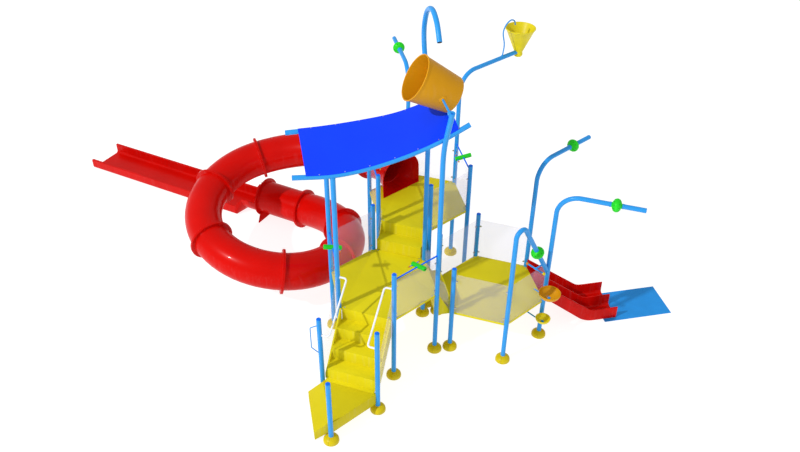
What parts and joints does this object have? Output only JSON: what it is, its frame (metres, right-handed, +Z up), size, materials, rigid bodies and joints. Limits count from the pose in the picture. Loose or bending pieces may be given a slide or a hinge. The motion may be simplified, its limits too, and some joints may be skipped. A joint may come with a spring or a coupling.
{
  "type": "water slide tower",
  "caption": "Water play tower with hexagonal decks on posts, a closed spiral tube slide, an open twin slide, a curved roof under a tipping bucket, spray pipes and water cannons.",
  "frame": {"origin": "underside of the domed foot of the landing's near post, on the ground", "axes": "+Z up, +Y from the entry flight towards the upper deck, +X to the right as a visitor walks in"},
  "size_m": [16.5705, 8.7046, 7.4196],
  "materials": {
    "post_blue": "gloss powder coat",
    "roof_blue": "smooth gloss",
    "deck_yellow": "fine slip-resistant texture",
    "slide_red": "smooth gel coat",
    "bucket_orange": "smooth gloss",
    "toy_green": "smooth gloss",
    "toy_yellow": "smooth gloss",
    "rail_white": "gloss powder coat",
    "clear_panel": "clear polycarbonate sheet",
    "mat_blue": "soft ribbed foam mat"
  },
  "bodies": {
    "tower": {"arch_posts": "post_blue", "bucket_post_right": "post_blue", "cone_arm_posts": "post_blue", "entry_flight": "deck_yellow", "entry_post_left": "post_blue", "entry_post_near": "post_blue", "entry_post_right": "post_blue", "fill_spout_post": "post_blue", "handrail_left": "rail_white", "handrail_right": "rail_white", "landing": "deck_yellow", "landing_mat": "mat_blue", "lower_deck": "deck_yellow", "lower_dish": "toy_yellow", "lower_panel_front": "clear_panel", "lower_panel_inner_rear": "clear_panel", "lower_panel_rear": "clear_panel", "lower_panel_right": "clear_panel", "lower_post_front": "post_blue", "lower_post_inner": "post_blue", "lower_post_rear": "post_blue", "middle_deck": "deck_yellow", "middle_panel_left_front": "clear_panel", "middle_panel_left_rear": "clear_panel", "middle_panel_right": "clear_panel", "middle_post_rear": "post_blue", "roof_posts_left": "post_blue", "roof_sheet": "roof_blue", "runout_trough": "slide_red", "spray_post_rear": "post_blue", "spray_post_slide": "post_blue", "stair_guard_left": "clear_panel", "stair_guard_right": "clear_panel", "step_to_lower": "deck_yellow", "step_to_upper": "deck_yellow", "tube_entrance": "slide_red", "tube_exit_trough": "slide_red", "tube_section_1": "slide_red", "tube_section_2": "slide_red", "tube_section_3": "slide_red", "tube_section_4": "slide_red", "tube_section_5": "slide_red", "tube_section_6": "slide_red", "twin_slide": "slide_red", "upper_deck": "deck_yellow", "upper_dish": "bucket_orange", "upper_panel_left": "clear_panel", "upper_panel_rear": "clear_panel", "upper_panel_right_front": "clear_panel", "upper_panel_right_rear": "clear_panel", "upper_post_front": "post_blue", "upper_posts_left": "post_blue", "water_cone": "toy_yellow"},
    "bucket": {"bucket": "bucket_orange"},
    "cannon_middle_right": {"cannon_middle_right": "toy_green"},
    "cannon_middle_left": {"cannon_middle_left": "toy_green"},
    "cannon_upper_right": {"cannon_upper_right": "toy_green"},
    "cannon_upper_left": {"cannon_upper_left": "toy_green"},
    "valve_handle": {"valve_handle": "post_blue"}
  },
  "joints": [
    {"name": "bucket_tip", "type": "hinge", "parent": "tower", "child": "bucket", "pos_m": [0.9, 3.5981, 6.07], "axis": [-0.5, 0.866, 0], "range_deg": [-45, 60]},
    {"name": "cannon_middle_right_tilt", "type": "hinge", "parent": "tower", "child": "cannon_middle_right", "pos_m": [0.912, 2.5796, 2.67], "axis": [0.5, 0.866, 0], "range_deg": [-13, 37]},
    {"name": "cannon_middle_left_tilt", "type": "hinge", "parent": "tower", "child": "cannon_middle_left", "pos_m": [-0.918, 2.59, 2.67], "axis": [0.5, -0.866, 0], "range_deg": [-13, 37]},
    {"name": "cannon_upper_right_tilt", "type": "hinge", "parent": "tower", "child": "cannon_upper_right", "pos_m": [0.882, 6.0577, 3.23], "axis": [-0.5, 0.866, 0], "range_deg": [-13, 37]},
    {"name": "cannon_upper_left_tilt", "type": "hinge", "parent": "tower", "child": "cannon_upper_left", "pos_m": [-0.9, 4.9873, 3.23], "axis": [0.5, -0.866, 0], "range_deg": [-13, 37]},
    {"name": "valve_turn", "type": "hinge", "parent": "tower", "child": "valve_handle", "pos_m": [3.0831, 3.9116, 2.17], "axis": [0.5, 0.866, 0], "range_deg": [-45, 45]}
  ]
}
